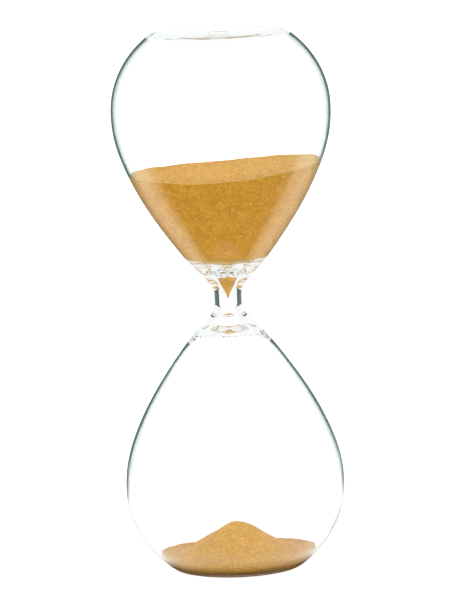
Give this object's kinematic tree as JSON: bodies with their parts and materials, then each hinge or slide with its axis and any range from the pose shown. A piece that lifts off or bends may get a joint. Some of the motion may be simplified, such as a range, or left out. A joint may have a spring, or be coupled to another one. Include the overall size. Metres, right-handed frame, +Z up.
{
  "type": "hourglass",
  "caption": "Frameless hourglass: two pear-shaped blown-glass bulbs joined by a thick clear neck, holding golden sand that runs from the upper bulb onto a low heap.",
  "frame": {"origin": "centre of the standing ring's circle, on the surface that the hourglass stands on", "axes": "+Z up along the axis of both bulbs; +X towards the side where the upper sand lies higher; +Y away from the viewer"},
  "size_m": [0.08, 0.08, 0.1978],
  "materials": {
    "clear_glass": "gloss",
    "neck_glass": "gloss",
    "seal_glass": "gloss",
    "sand": "matte",
    "falling_sand": "matte"
  },
  "bodies": {
    "glass": {"upper_bulb": "clear_glass", "neck": "neck_glass", "lower_bulb": "clear_glass", "fill_seal": "seal_glass", "upper_sand": "sand", "lower_sand": "sand"},
    "stream": {"sand_stream": "falling_sand"}
  },
  "joints": [
    {"name": "stream_fall", "type": "slide", "parent": "glass", "child": "stream", "axis": [0, 0, -1], "range_m": [0, 0.0732]}
  ]
}
